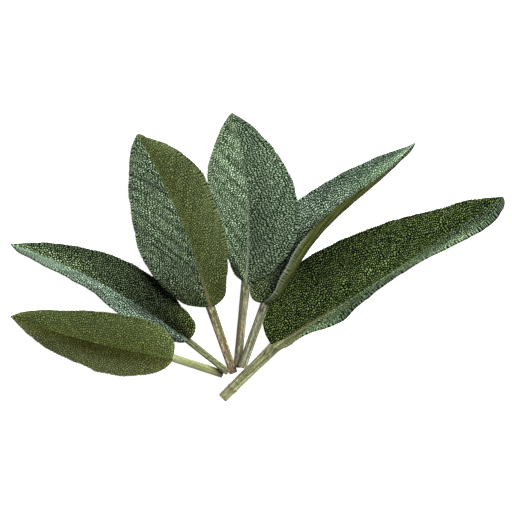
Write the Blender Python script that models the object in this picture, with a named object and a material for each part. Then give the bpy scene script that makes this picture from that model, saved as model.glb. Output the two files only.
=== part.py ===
"""Sage sprig: six picked leaves lying in a fan, with their stalk ends together.

Each leaf is two pieces: a folded blade with a scalloped edge, and a stalk that runs on
under the blade as its midrib. Sizes are in millimetres and angles in degrees until the
last step, which makes metres. The table is z = 0, and the leaf tips point to +Y.
"""

import math
from dataclasses import dataclass

import bmesh
import bpy
import numpy as np

MM = 0.001

BLADE_THICKNESS = 0.7
STALK_GAP = 0.45
MIDRIB_TIP_RADIUS = 0.42
MIDRIB_TAPER = 1.4
MIDRIB_REACH = 0.95
GROOVE_DEPTH = 0.28

# The veins, the puckers and the teeth are fewer and larger than on a real leaf. They grow
# from nothing to full size between the first two widths of half a blade, and over the
# first share of its length. The third width is where it is fully folded.
PLAIN_WIDTH = 1.5
FULL_WIDTH = 5.0
FOLDED_WIDTH = 3.0
PLAIN_BASE = 0.08
VEIN_PAIRS = 11
VEIN_SLANT = 0.16
QUILT_HEIGHT = 0.16
PUCKER_HEIGHT = 0.13
TOOTH_DEPTH = 0.3

COLUMNS = 44
END_CROWDING = 0.55
ROWS = (0.0, 0.16, 0.36, 0.58, 0.8, 1.0)
STALK_SIDES = 9
PETIOLE_RINGS = 6
MIDRIB_RINGS = 16


@dataclass
class Half:
    """One side of a blade. A value with three numbers is at the base, the middle and the tip.

    width is measured along the surface, shape holds the powers that round the base and
    the tip, fold is the lift beside the midrib and curl what is added by the margin.
    dip changes the fold around one place: by how much, where, and over what share.
    """

    width: float
    shape: tuple
    fold: tuple
    curl: tuple = (-12.0, -12.0, -12.0)
    dip: tuple = (0.0, 0.5, 1.0)


@dataclass
class Leaf:
    """A leaf, with its left and right halves as seen from the stalk.

    rise is the height of the midrib's underside over the table, no lower than 0.
    cut is the end of the stalk, cut_rise its height, and radii are the stalk's at
    the blade and at the cut.
    """

    base: tuple
    tip: tuple
    bow: float
    rise: tuple
    left: Half
    right: Half
    cut: tuple
    cut_rise: float
    radii: tuple
    blade_colour: tuple
    stalk_colour: tuple
    belly: tuple = (1.0, 1.0)


LEAVES = [
    Leaf(
        base=(-20.3, -24.0),
        tip=(-58.9, -14.1),
        bow=1.1,
        rise=(0.1, -0.3, 1.3),
        left=Half(6.5, (0.65, 1.05), (5.0, 8.0, 15.0)),
        right=Half(9.8, (0.36, 0.86), (38.0, 38.0, 30.0)),
        cut=(-8.5, -27.7),
        cut_rise=0.0,
        radii=(1.0, 0.9),
        blade_colour=(0.115, 0.130, 0.055),
        stalk_colour=(0.42, 0.40, 0.18),
    ),
    Leaf(
        base=(-16.7, -19.8),
        tip=(-58.9, 3.2),
        bow=-2.0,
        rise=(0.2, -0.3, 1.3),
        left=Half(5.2, (0.6, 0.9), (20.0, 62.0, 60.0), dip=(-14.0, 0.38, 0.09)),
        right=Half(8.0, (0.42, 0.92), (15.0, 12.0, 15.0)),
        cut=(-7.1, -27.4),
        cut_rise=2.1,
        radii=(0.85, 0.8),
        blade_colour=(0.075, 0.105, 0.060),
        stalk_colour=(0.36, 0.33, 0.20),
    ),
    Leaf(
        base=(-11.3, -11.6),
        tip=(-28.7, 29.4),
        bow=-1.5,
        rise=(0.7, -0.3, 1.6),
        left=Half(12.0, (0.58, 0.83), (25.0, 25.0, 25.0)),
        right=Half(10.3, (0.62, 0.75), (25.0, 25.0, 25.0)),
        cut=(-6.1, -27.6),
        cut_rise=0.0,
        radii=(1.15, 0.75),
        blade_colour=(0.125, 0.150, 0.085),
        stalk_colour=(0.36, 0.33, 0.20),
    ),
    Leaf(
        base=(-2.8, -6.1),
        tip=(-6.1, 34.5),
        bow=-2.0,
        rise=(1.2, -0.2, 1.6),
        left=Half(9.3, (0.76, 0.76), (10.0, 12.0, 15.0)),
        right=Half(12.7, (0.72, 1.05), (25.0, 25.0, 25.0)),
        cut=(-4.5, -26.2),
        cut_rise=0.0,
        radii=(1.15, 0.85),
        blade_colour=(0.130, 0.165, 0.100),
        stalk_colour=(0.38, 0.35, 0.21),
    ),
    Leaf(
        base=(1.9, -10.7),
        tip=(37.7, 27.3),
        bow=3.7,
        rise=(2.5, -0.2, 0.8),
        left=Half(7.7, (0.36, 0.8), (-16.0, 14.0, 25.0)),
        right=Half(8.0, (0.45, 0.9), (-8.0, 32.0, 84.0), (155.0, 125.0, 10.0)),
        cut=(-3.5, -26.2),
        cut_rise=2.2,
        radii=(1.1, 1.05),
        blade_colour=(0.115, 0.150, 0.090),
        stalk_colour=(0.38, 0.35, 0.22),
        belly=(1.6, 2.6),
    ),
    Leaf(
        base=(4.0, -21.5),
        tip=(58.7, 14.4),
        bow=-0.9,
        rise=(0.0, -0.3, 1.3),
        left=Half(14.0, (0.35, 0.87), (-8.5, 3.0, 10.0)),
        right=Half(11.5, (0.45, 0.6), (82.0, 88.0, 52.0), (0.0, 0.0, 0.0), (-14.0, 0.24, 0.09)),
        cut=(-8.4, -33.6),
        cut_rise=0.0,
        radii=(1.35, 1.3),
        blade_colour=(0.060, 0.082, 0.035),
        stalk_colour=(0.40, 0.36, 0.20),
    ),
]


def through(values, s):
    """The smooth curve through three values, at the base, the middle and the tip."""
    base, middle, tip = values
    return base * (1 - s) * (1 - 2 * s) + 4 * middle * s * (1 - s) + tip * s * (2 * s - 1)


def hump(s, powers):
    """A curve that is 0 at both ends of the leaf and 1 at its highest place."""
    rising, falling = powers
    peak = rising / (rising + falling)
    top = peak**rising * (1 - peak) ** falling
    return s**rising * (1 - s) ** falling / top


def plan_of_midrib(leaf, s):
    """The midrib seen from above: its points, and the unit vectors to the leaf's left."""
    base, tip = np.array(leaf.base), np.array(leaf.tip)
    along = tip - base
    across = np.array((-along[1], along[0])) / np.linalg.norm(along)

    def place(share):
        return base + share[:, None] * along + leaf.bow * hump(share, leaf.belly)[:, None] * across

    step = 0.001
    heading = place(np.minimum(s + step, 1.0)) - place(np.maximum(s - step, 0.0))
    heading /= np.linalg.norm(heading, axis=1)[:, None]
    return place(s), np.stack((-heading[:, 1], heading[:, 0]), axis=1)


def width_of(half, s):
    return half.width * hump(s, half.shape)


def opening(leaf, s):
    """From 0, where the blade is so narrow that it lies flat, to 1, where it is fully folded."""
    return np.clip(np.minimum(width_of(leaf.left, s), width_of(leaf.right, s)) / FOLDED_WIDTH, 0.0, 1.0)


def lift_of(half, s):
    amount, where, spread = half.dip
    return np.radians(through(half.fold, s) + amount * np.exp(-(((s - where) / spread) ** 2)))


def tilt_and_bend(leaf, s):
    """The blade's tilt to its right and how far each half is bent up from that tilt."""
    left, right = lift_of(leaf.left, s), lift_of(leaf.right, s)
    return (left - right) / 2, (left + right) / 2 * opening(leaf, s)


def midrib_radius(leaf, s):
    return MIDRIB_TIP_RADIUS + (leaf.radii[0] - MIDRIB_TIP_RADIUS) * (1 - s) ** MIDRIB_TAPER


def midrib_height(leaf, s):
    """The height of the midrib's centre. Its lowest flat lies on the table where rise is below 0."""
    flat = midrib_radius(leaf, s) * math.cos(math.pi / STALK_SIDES)
    return np.maximum(through(leaf.rise, s), 0.0) + flat


def fold_height(leaf, s):
    """The height of the blade's middle surface where its two halves meet, over the midrib."""
    corner = BLADE_THICKNESS / 2 / np.cos(tilt_and_bend(leaf, s)[1])
    return midrib_height(leaf, s) + midrib_radius(leaf, s) + STALK_GAP + corner


def share_along(count):
    """Places along a blade from base to tip, closer together at both ends."""
    even = np.arange(count + 1) / count
    crowded = (1 - np.cos(math.pi * even)) / 2
    return even * (1 - END_CROWDING) + crowded * END_CROWDING


def half_points(leaf, half, side, s):
    """Points of one half's middle surface: a row across the blade for each place along it."""
    plan, leftward = plan_of_midrib(leaf, s)
    height = fold_height(leaf, s)
    tilt, bend = tilt_and_bend(leaf, s)
    fold = bend + side * tilt
    curl = np.radians(through(half.curl, s)) * opening(leaf, s)
    curl = np.where(np.abs(curl) < 1e-4, 1e-4, curl)
    smooth_width = width_of(half, s)
    detail = np.clip((smooth_width - PLAIN_WIDTH) / (FULL_WIDTH - PLAIN_WIDTH), 0.0, 1.0)
    detail *= np.clip(s / PLAIN_BASE, 0.0, 1.0)
    teeth = TOOTH_DEPTH * detail * (np.arange(len(s)) % 2)
    rows = []
    for column, u in enumerate(ROWS):
        width = smooth_width + (teeth if u == 1.0 else 0.0)
        slope = fold + curl * u
        out = width / curl * (np.sin(slope) - np.sin(fold))
        up = width / curl * (np.cos(fold) - np.cos(slope))
        veins = np.cos(2 * math.pi * VEIN_PAIRS * (s - VEIN_SLANT * u))
        puckers = (-1.0) ** (np.arange(len(s)) + column)
        relief = (QUILT_HEIGHT * veins + PUCKER_HEIGHT * puckers) * detail * math.sin(math.pi * u)
        out = out - relief * np.sin(slope)
        up = up + relief * np.cos(slope)
        flat = plan + side * out[:, None] * leftward
        rows.append(np.column_stack((flat, height + up)))
    return np.stack(rows, axis=1)


def new_object(name, points, faces, colour, roughness):
    mesh = bpy.data.meshes.new(name)
    mesh.from_pydata((np.asarray(points) * MM).tolist(), [], faces)
    material = bpy.data.materials.new(name)
    material.use_nodes = True
    shader = material.node_tree.nodes["Principled BSDF"]
    shader.inputs["Base Color"].default_value = (*colour, 1.0)
    shader.inputs["Roughness"].default_value = roughness
    shader.inputs["Metallic"].default_value = 0.0
    mesh.materials.append(material)
    made = bpy.data.objects.new(name, mesh)
    bpy.context.scene.collection.objects.link(made)
    return made


def make_blade(name, leaf):
    """The blade's middle surface as one sheet, which a Solidify modifier makes thick."""
    s = share_along(COLUMNS)
    left = half_points(leaf, leaf.left, 1.0, s)
    right = half_points(leaf, leaf.right, -1.0, s)
    across = np.concatenate((right[:, :0:-1], left), axis=1)[1:-1]
    columns, rows, _ = across.shape
    points = [tuple(point) for point in across.reshape(-1, 3)]
    points += [tuple(left[0, 0]), tuple(left[-1, 0])]
    first, last = len(points) - 2, len(points) - 1
    faces = []
    for i in range(columns - 1):
        for j in range(rows - 1):
            corner = i * rows + j
            faces.append((corner, corner + rows, corner + rows + 1, corner + 1))
    for j in range(rows - 1):
        end = (columns - 1) * rows + j
        faces.append((first, j, j + 1))
        faces.append((last, end + 1, end))
    blade = new_object(name, points, faces, leaf.blade_colour, 0.8)
    solid = blade.modifiers.new("Thickness", "SOLIDIFY")
    solid.thickness = BLADE_THICKNESS * MM
    solid.offset = 0.0
    solid.use_even_offset = True
    solid.use_quality_normals = True
    return blade


def stalk_line(leaf):
    """The stalk's centre line and radii, from the cut end to near the tip of the blade."""
    s = np.linspace(0.0, MIDRIB_REACH, MIDRIB_RINGS)
    under = np.column_stack((plan_of_midrib(leaf, s)[0], midrib_height(leaf, s)))
    radius = midrib_radius(leaf, s)
    cut_radius = leaf.radii[1]
    cut = np.array((*leaf.cut, leaf.cut_rise + cut_radius * math.cos(math.pi / STALK_SIDES)))
    share = (np.arange(PETIOLE_RINGS) / PETIOLE_RINGS)[:, None]
    free = cut + (under[0] - cut) * share
    free_radius = cut_radius + (radius[0] - cut_radius) * share[:, 0]
    return np.concatenate((free, under)), np.concatenate((free_radius, radius))


def make_stalk(name, leaf):
    """A tapering tube of rings, flat underneath and with a groove along its top."""
    line, radius = stalk_line(leaf)
    turn = 2 * math.pi / STALK_SIDES
    angles = [math.pi / 2 + turn * k for k in range(STALK_SIDES)]
    heading = np.gradient(line, axis=0)
    heading /= np.linalg.norm(heading, axis=1)[:, None]
    points = []
    for centre, ahead, size in zip(line, heading, radius):
        side = np.cross((0.0, 0.0, 1.0), ahead)
        side /= np.linalg.norm(side)
        up = np.cross(ahead, side)
        for k, angle in enumerate(angles):
            reach = size * (1 - GROOVE_DEPTH if k == 0 else 1.0)
            point = centre + reach * (math.cos(angle) * side + math.sin(angle) * up)
            points.append((point[0], point[1], max(point[2], 0.0)))
    faces = []
    for ring in range(len(line) - 1):
        for k in range(STALK_SIDES):
            a = ring * STALK_SIDES + k
            b = ring * STALK_SIDES + (k + 1) % STALK_SIDES
            faces.append((a, b, b + STALK_SIDES, a + STALK_SIDES))
    last = (len(line) - 1) * STALK_SIDES
    faces.append(tuple(reversed(range(STALK_SIDES))))
    faces.append(tuple(range(last, last + STALK_SIDES)))
    return new_object(name, points, faces, leaf.stalk_colour, 0.7)


def face_outward(made):
    shape = bmesh.new()
    shape.from_mesh(made.data)
    bmesh.ops.recalc_face_normals(shape, faces=shape.faces)
    shape.to_mesh(made.data)
    shape.free()


def main():
    for old in list(bpy.data.objects):
        bpy.data.objects.remove(old, do_unlink=True)
    for number, leaf in enumerate(LEAVES, start=1):
        make_blade(f"leaf_{number}_blade", leaf)
        face_outward(make_stalk(f"leaf_{number}_stalk", leaf))


main()
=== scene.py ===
"""The looks of a sage sprig: six picked leaves in a fan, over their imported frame.

A leaf is two pieces, as in the frame: the blade, with its pebbled upper face, veined
underside and scalloped margin, and the stalk, which runs on under the blade as its midrib.
Sizes follow the frame's, in millimetres and degrees, with finer margins, teeth, veins and
pebbles. Pieces are made in metres.
"""

import math
from dataclasses import dataclass

import bpy
import numpy as np
from bpy.props import FloatProperty, FloatVectorProperty, IntProperty, PointerProperty
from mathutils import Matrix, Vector


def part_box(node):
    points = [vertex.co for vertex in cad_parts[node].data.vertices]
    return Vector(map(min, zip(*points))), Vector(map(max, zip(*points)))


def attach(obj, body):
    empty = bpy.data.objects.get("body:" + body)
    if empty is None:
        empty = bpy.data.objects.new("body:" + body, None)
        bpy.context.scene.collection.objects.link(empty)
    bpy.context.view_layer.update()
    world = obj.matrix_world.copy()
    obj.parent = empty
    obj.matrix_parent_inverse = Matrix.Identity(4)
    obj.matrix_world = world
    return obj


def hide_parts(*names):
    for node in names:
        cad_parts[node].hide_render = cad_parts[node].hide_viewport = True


bl_info = {
    "name": "Sage Sprig",
    "version": (1, 0, 0),
    "blender": (4, 5, 0),
    "location": "View3D > Sidebar > Sage",
    "description": "Builds the leaves, stalks and stage of a fanned sage sprig",
    "category": "Add Mesh",
}

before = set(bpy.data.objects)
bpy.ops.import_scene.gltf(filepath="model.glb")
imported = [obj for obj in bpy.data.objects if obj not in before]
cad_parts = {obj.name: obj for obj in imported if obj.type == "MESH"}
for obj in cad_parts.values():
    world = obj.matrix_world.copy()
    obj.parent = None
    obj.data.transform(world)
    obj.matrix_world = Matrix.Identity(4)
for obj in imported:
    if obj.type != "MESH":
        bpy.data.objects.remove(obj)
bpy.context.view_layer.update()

MM = 0.001
BODY = "root"

# What all the leaves share, as in the frame.
BLADE_THICKNESS = 0.7
STALK_GAP = 0.45
MIDRIB_TIP_RADIUS = 0.42
MIDRIB_TAPER = 1.4
MIDRIB_REACH = 0.95
STALK_SIDES = 9

# A blade is fully folded from this width of its narrower half on.
FOLDED_WIDTH = 1.8
# A half gets its teeth and its wandering margin as it grows to about this width.
PLAIN_WIDTH = 1.5
# Places along a blade at which Half.margin is given, after 0 at the base and before 0 at the tip.
MARGIN_PLACES = (0.04, 0.12, 0.24, 0.38, 0.52, 0.66, 0.8, 0.9, 0.96)
# Places along a blade at which Half.near and Half.far, its tone with painted light and shade, are given.
TONE_AND_LIGHT_PLACES = (0.08, 0.26, 0.5, 0.75, 0.92)
# How far along a blade its lobes beside the stalk reach, as a share of its length.
LOBE_REACH = 0.16

# How the side veins leave the midrib, and how the rows of pebbles turn against it.
VEIN_PAIRS = 9
VEIN_ANGLE = math.radians(36.0)
VEIN_BEND = 0.02
VEIN_WIDTH = 0.25
PEBBLE_TURN = math.radians(20.0)

# The most that a piece's box may differ from its node's.
FREE_PLAY = 1.8


@dataclass
class Half:
    """One side of a blade, from the midrib out to the margin.

    width is its widest, and shape the powers that round it towards base and tip. fold is its
    lift beside the midrib and curl what is added by the margin, at base, middle and tip. dip
    adds to fold round one place: how much, where, and over what share of the length. margin is
    how far the margin stands outside its even line, and lobed how far the base reaches back
    beside the stalk.

    near and far are how light it is beside the fold and by the margin: its own tone with painted light
    and shade, such as the shadows that overlapping leaves cast on it. pebbled is how boldly the pebbles
    stand, soft_tip how much less near the tip, and coarse their size beside the settings', across and
    along. veined is how strongly the side veins show, with painted light and shade on the swellings
    between them. edging is the width of the ribbed margin, painted_rim_shade how much painted shade
    darkens its edge, and pale_rim how pale its edge is. stemlike gives the base the midrib's colour.
    olive warms the half beside the fold and at the base.
    """

    width: float
    shape: tuple
    fold: tuple
    curl: tuple = (-12.0, -12.0, -12.0)
    dip: tuple = (0.0, 0.5, 1.0)
    margin: tuple = (0.0,) * len(MARGIN_PLACES)
    lobed: float = 0.0
    near: tuple = (1.0,) * len(TONE_AND_LIGHT_PLACES)
    far: tuple = (1.0,) * len(TONE_AND_LIGHT_PLACES)
    pebbled: float = 1.0
    soft_tip: float = 0.0
    coarse: tuple = (1.0, 1.0)
    veined: float = 0.3
    edging: float = 0.7
    painted_rim_shade: float = 0.3
    pale_rim: float = 0.0
    stemlike: float = 0.0
    olive: tuple = (0.2, 0.5)


@dataclass
class Leaf:
    """One leaf: its midrib seen from above, its two halves and its stalk.

    bow is how far the midrib bows sideways, by the powers in belly, and rise its height at
    base, middle and tip. cut and cut_rise place the stalk's cut end, and radii are the stalk's
    radii at the blade and at the cut. rib_reach is how far along the blade the midrib's line
    shows, and rib_width how wide it is.

    bruise is how far the stain at the cut reaches and how dark it is, flecked and streaky how
    strongly the stalk is marked. ring is how far an old leaf's scar stands out round it, and
    foot how much it thickens where it meets the blade.
    """

    base: tuple
    tip: tuple
    bow: float
    rise: tuple
    left: Half
    right: Half
    cut: tuple
    cut_rise: float
    radii: tuple
    bruise: tuple
    flecked: float
    streaky: float
    belly: tuple = (1.0, 1.0)
    rib_reach: float = 0.2
    rib_width: float = 0.3
    ring: float = 0.0
    foot: float = 0.0


LEAVES = [
    Leaf(
        base=(-20.3, -24.0), tip=(-58.9, -14.1), bow=1.1, rise=(0.1, -0.3, 1.3),
        left=Half(
            6.5, (0.65, 1.05), (5.0, 8.0, 15.0), lobed=0.4, pebbled=0.55, coarse=(0.55, 1.1),
            veined=0.1, edging=0.5, olive=(1.0, 0.3),
            margin=(0.3, 0.0, -0.05, 0.05, -0.35, -0.05, 0.35, 0.25, 0.1),
            near=(0.85, 0.65, 0.45, 0.75, 1.2), far=(1.55, 1.45, 1.55, 0.9, 1.45),
        ),
        right=Half(
            9.8, (0.36, 0.86), (38.0, 38.0, 30.0), lobed=0.4, pebbled=0.65, coarse=(0.72, 0.84),
            veined=0.05, edging=0.5, olive=(0.4, 0.0),
            margin=(0.0, 0.0, 0.0, -0.05, -0.05, -0.1, 0.2, 0.15, 0.2),
            near=(1.2, 1.1, 1.05, 1.0, 0.6), far=(1.4, 0.95, 0.9, 1.05, 0.9),
        ),
        cut=(-8.3, -27.9), cut_rise=0.0, radii=(1.0, 1.0),
        bruise=(2.0, 0.8), flecked=0.05, streaky=0.35,
    ),
    Leaf(
        base=(-16.7, -19.8), tip=(-58.9, 3.2), bow=-2.0, rise=(0.2, -0.3, 1.3),
        left=Half(
            5.2, (0.6, 0.9), (20.0, 62.0, 60.0), dip=(-14.0, 0.38, 0.09), pebbled=1.15,
            soft_tip=0.6, coarse=(0.8, 0.82), veined=0.4, painted_rim_shade=0.8, olive=(0.0, 0.0),
            margin=(-0.15, 0.0, 0.0, -0.55, -0.5, -0.2, 0.25, 0.3, 0.4),
            near=(0.9, 0.4, 1.6, 1.95, 2.05), far=(0.25, 1.8, 0.9, 1.4, 0.9),
        ),
        right=Half(
            8.0, (0.42, 0.92), (15.0, 12.0, 15.0), lobed=0.7, pebbled=1.4, coarse=(0.57, 0.96),
            olive=(0.0, 1.0),
            margin=(0.0, -1.3, -0.2, -0.2, 0.15, 0.2, 0.1, 0.15, -0.15),
            near=(0.3, 0.5, 1.15, 2.75, 3.1), far=(1.2, 0.45, 1.0, 0.9, 1.45),
        ),
        cut=(-7.1, -27.4), cut_rise=2.1, radii=(0.85, 0.8),
        bruise=(0.8, 0.5), flecked=0.35, streaky=1.0, rib_reach=0.06,
    ),
    Leaf(
        base=(-11.3, -11.6), tip=(-28.7, 29.4), bow=-1.5, rise=(0.7, -0.3, 1.6),
        left=Half(
            12.0, (0.58, 0.83), (25.0, 25.0, 25.0), pebbled=1.3, coarse=(0.67, 0.68), veined=0.9,
            olive=(0.0, 0.6),
            margin=(0.7, 0.0, 0.05, 0.45, -0.2, 0.05, 0.15, 0.35, 0.45),
            near=(0.7, 0.9, 1.3, 1.0, 1.65), far=(0.4, 0.85, 1.35, 1.2, 1.25),
        ),
        right=Half(
            10.3, (0.62, 0.75), (25.0, 25.0, 25.0), lobed=0.7, pebbled=0.65, coarse=(0.58, 1.0),
            edging=1.2, olive=(0.4, 0.6),
            margin=(0.6, -0.7, -0.65, -0.95, -0.7, 0.95, 0.65, -0.15, -0.85),
            near=(0.9, 0.95, 1.1, 0.95, 1.1), far=(0.55, 1.05, 1.25, 0.9, 1.5),
        ),
        cut=(-5.8, -27.6), cut_rise=0.0, radii=(1.2, 1.0),
        bruise=(1.6, 0.9), flecked=1.0, streaky=1.0, rib_reach=0.3, rib_width=0.45,
    ),
    Leaf(
        base=(-2.8, -6.1), tip=(-6.1, 34.5), bow=-2.0, rise=(1.2, -0.2, 1.6),
        left=Half(
            9.3, (0.76, 0.76), (10.0, 12.0, 15.0), pebbled=1.15, coarse=(0.65, 0.72), veined=0.8,
            olive=(0.0, 0.3),
            margin=(0.3, -0.5, -0.45, 0.0, 0.0, 0.2, 0.2, -0.05, 0.0),
            near=(0.95, 0.85, 1.25, 1.65, 1.1), far=(0.2, 1.45, 1.2, 1.45, 1.1),
        ),
        right=Half(
            12.7, (0.72, 1.05), (25.0, 25.0, 25.0), pebbled=1.15, coarse=(0.9, 0.68),
            olive=(0.1, 0.3),
            margin=(0.0, 0.0, 0.0, 0.0, -0.1, 0.05, 0.1, 0.5, 0.35),
            near=(0.85, 0.65, 1.1, 1.35, 1.4), far=(0.65, 1.05, 1.15, 1.4, 0.8),
        ),
        cut=(-4.85, -26.2), cut_rise=0.0, radii=(1.15, 1.0),
        bruise=(0.8, 0.3), flecked=0.9, streaky=0.8, rib_reach=0.75,
    ),
    Leaf(
        base=(1.9, -10.7), tip=(37.7, 27.3), bow=3.7, rise=(2.5, -0.2, 0.8), belly=(1.6, 2.6),
        left=Half(
            7.7, (0.36, 0.8), (-16.0, 14.0, 25.0), lobed=1.9, pebbled=1.3, soft_tip=0.35,
            coarse=(0.67, 0.7), olive=(0.2, 1.0),
            margin=(0.15, -0.25, -0.2, 0.0, -0.2, 0.2, 0.5, 0.05, -0.25),
            near=(0.45, 0.25, 1.4, 1.7, 3.2), far=(0.7, 2.2, 0.85, 0.85, 0.75),
        ),
        right=Half(
            8.0, (0.45, 1.02), (-8.0, 32.0, 84.0), curl=(186.0, 122.0, 10.0), edging=1.6,
            painted_rim_shade=0.0, pale_rim=1.0,
        ),
        cut=(-3.7, -26.2), cut_rise=2.2, radii=(1.1, 1.1),
        bruise=(0.8, 0.5), flecked=0.5, streaky=0.9, rib_reach=0.03,
    ),
    Leaf(
        base=(4.0, -21.5), tip=(58.7, 14.4), bow=-0.45, rise=(0.0, -0.3, 1.3),
        left=Half(
            14.0, (0.35, 0.87), (-8.5, 3.0, 10.0), lobed=0.3, pebbled=1.8, coarse=(0.66, 0.84),
            edging=0.4, olive=(0.0, 0.35),
            margin=(0.0, -0.35, 0.2, -0.1, -0.25, -0.5, -0.6, 0.1, -0.15),
            near=(0.9, 1.05, 1.4, 1.1, 1.0), far=(1.15, 0.45, 0.85, 1.25, 1.25),
        ),
        right=Half(
            11.5, (0.45, 0.6), (82.0, 88.0, 52.0), curl=(0.0, 0.0, 0.0), dip=(-14.0, 0.24, 0.09),
            pebbled=1.4, edging=2.0, painted_rim_shade=0.9, stemlike=1.0, olive=(0.3, 0.5),
            margin=(0.55, -0.1, -0.05, 1.05, 0.0, -0.3, 0.1, 0.7, 0.35),
            near=(0.95, 1.35, 1.85, 0.6, 0.5), far=(2.8, 0.95, 0.85, 1.75, 0.4),
        ),
        cut=(-8.35, -33.6), cut_rise=0.0, radii=(1.35, 1.3),
        bruise=(0.5, 0.3), flecked=0.45, streaky=0.75, rib_reach=0.4, rib_width=0.6,
        ring=0.12, foot=0.15,
    ),
]


def number_setting(name, description, default, **more):
    """A number that isn't negative."""
    return FloatProperty(name=name, description=description, default=default, min=0.0, **more)


def length_setting(name, description, millimetres):
    """A length, kept in metres."""
    return number_setting(name, description, millimetres * MM, precision=5, unit="LENGTH")


def colour_setting(name, description, colour):
    """A colour in linear light."""
    return FloatVectorProperty(
        name=name,
        description=description,
        default=colour,
        size=3,
        min=0.0,
        max=1.0,
        subtype="COLOR",
    )


def leaf_colours(kind, description, colours):
    """A colour for each leaf: left_1, left_2 and so on."""
    return {
        f"{kind}_{number}": colour_setting(f"{kind} {number}".capitalize(), f"{description} {number}", colour)
        for number, colour in enumerate(colours, start=1)
    }


def colour_of(looks, kind, number):
    """One leaf's colour from the settings, such as left_1."""
    return tuple(getattr(looks, f"{kind}_{number}"))


class SageBladeSettings(bpy.types.PropertyGroup):
    """Sizes and colours of the blades"""

    thickness: length_setting("Thickness", "Thickness of a blade between its veins", 0.42)
    grid: length_setting("Grid", "Distance between points of a blade's upper face", 0.18)
    pebble_along: length_setting("Pebble length", "Spacing of the pebbles along a blade", 0.52)
    pebble_across: length_setting("Pebble width", "Spacing of the pebbles across a blade", 0.85)
    pebble_height: length_setting("Pebble height", "Height of a pebble over the furrows", 0.06)
    quilt_height: length_setting("Quilting", "Swelling of a blade between its side veins", 0.1)
    tooth_pitch: length_setting("Tooth pitch", "Spacing of the scallops of the margin", 0.66)
    tooth_depth: length_setting("Tooth depth", "Depth of the notches in the margin", 0.28)
    fold_radius: length_setting("Fold radius", "How softly a blade folds at its midrib", 0.35)
    felt: number_setting(
        "Felt", "How strongly the fine hairs catch the light", 0.003, max=1.0, subtype="FACTOR"
    )


class SageStalkSettings(bpy.types.PropertyGroup):
    """Sizes and colours of the stalks"""

    sides: IntProperty(
        name="Sides", description="Points round a stalk", default=30, min=12, max=64
    )
    step: length_setting("Step", "Distance between rings along a stalk", 0.22)
    rib_height: length_setting("Rib height", "Height of the lengthwise ribs", 0.05)
    fleck: colour_setting("Flecks", "Purple-brown flecks of the bark", (0.100, 0.042, 0.032))


class SageStageSettings(bpy.types.PropertyGroup):
    """Sizes, lights and camera of the stage"""

    floor_size: length_setting("Floor size", "Side of the square floor", 4000.0)
    floor_colour: colour_setting("Floor", "Colour of the pale floor", (0.80, 0.80, 0.80))
    camera_height: length_setting("Camera height", "Height of the camera over the table", 512.0)
    camera_across: length_setting("Camera left", "How far the camera stands to the left", 0.36)
    camera_up: length_setting("Camera up", "How far the camera stands towards the tips", 0.36)
    camera_lens: number_setting("Lens", "Focal length in millimetres", 150.0)
    key_power: number_setting("Key light", "Power of the big soft light", 30.0, unit="POWER")
    fill_power: number_setting("Fill light", "Power of the light opposite", 1.0, unit="POWER")
    sky: number_setting("Room light", "Strength of the light from all round", 0.12)


# The left and right colours of a leaf are its halves' own colours with painted light and shade: a half is
# painted lighter and bluer when it is turned to the light, and darker and more olive when it is turned away.
for group, kind, description, colours in (
    (SageBladeSettings, "left", "Left half of leaf", (
        (0.035, 0.040, 0.008), (0.061, 0.084, 0.032), (0.040, 0.057, 0.017),
        (0.062, 0.086, 0.027), (0.054, 0.078, 0.028), (0.017, 0.027, 0.004),
    )),
    (SageBladeSettings, "right", "Right half of leaf", (
        (0.064, 0.080, 0.014), (0.025, 0.036, 0.009), (0.051, 0.064, 0.013),
        (0.054, 0.076, 0.025), (0.040, 0.050, 0.016), (0.063, 0.096, 0.027),
    )),
    (SageBladeSettings, "under", "Underside of leaf", (
        (0.20, 0.23, 0.15), (0.20, 0.23, 0.15), (0.20, 0.23, 0.15),
        (0.20, 0.23, 0.15), (0.066, 0.076, 0.020), (0.17, 0.20, 0.12),
    )),
    (SageBladeSettings, "rib", "Line along the fold of leaf", (
        (0.12, 0.14, 0.05), (0.20, 0.25, 0.20), (0.150, 0.122, 0.055),
        (0.205, 0.225, 0.175), (0.150, 0.180, 0.140), (0.260, 0.230, 0.120),
    )),
    (SageStalkSettings, "stalk", "Stalk of leaf", (
        (0.237, 0.248, 0.103), (0.100, 0.109, 0.040), (0.202, 0.172, 0.087),
        (0.158, 0.156, 0.086), (0.170, 0.166, 0.104), (0.178, 0.177, 0.080),
    )),
):
    group.__annotations__.update(leaf_colours(kind, description, colours))


class SageSettings(bpy.types.PropertyGroup):
    """Everything that the panel shows"""

    blade: PointerProperty(name="Blades", type=SageBladeSettings)
    stalk: PointerProperty(name="Stalks", type=SageStalkSettings)
    stage: PointerProperty(name="Stage", type=SageStageSettings)


# The leaf's shape. s runs along a blade, from 0 at its base to 1 at its tip, and u across a half,
# from 0 at the midrib to 1 at the margin.


def through(values, s):
    """The smooth curve through three values, at the base, the middle and the tip."""
    base, middle, tip = values
    return base * (1 - s) * (1 - 2 * s) + 4 * middle * s * (1 - s) + tip * s * (2 * s - 1)


def hump(s, powers):
    """A curve that is 0 at both ends of the leaf and 1 at its highest place."""
    rising, falling = powers
    peak = rising / (rising + falling)
    top = peak**rising * (1 - peak) ** falling
    return s**rising * (1 - s) ** falling / top


def smooth(value, low, high):
    """0 below low, 1 above high, and a soft step between."""
    share = np.clip((value - low) / (high - low), 0.0, 1.0)
    return share * share * (3 - 2 * share)


def bell(value, middle, width):
    """1 at the middle, falling away softly to both sides."""
    return np.exp(-(((value - middle) / width) ** 2))


def length_of(leaf):
    """The length of the midrib, as if it were straight."""
    return math.dist(leaf.base, leaf.tip)


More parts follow.
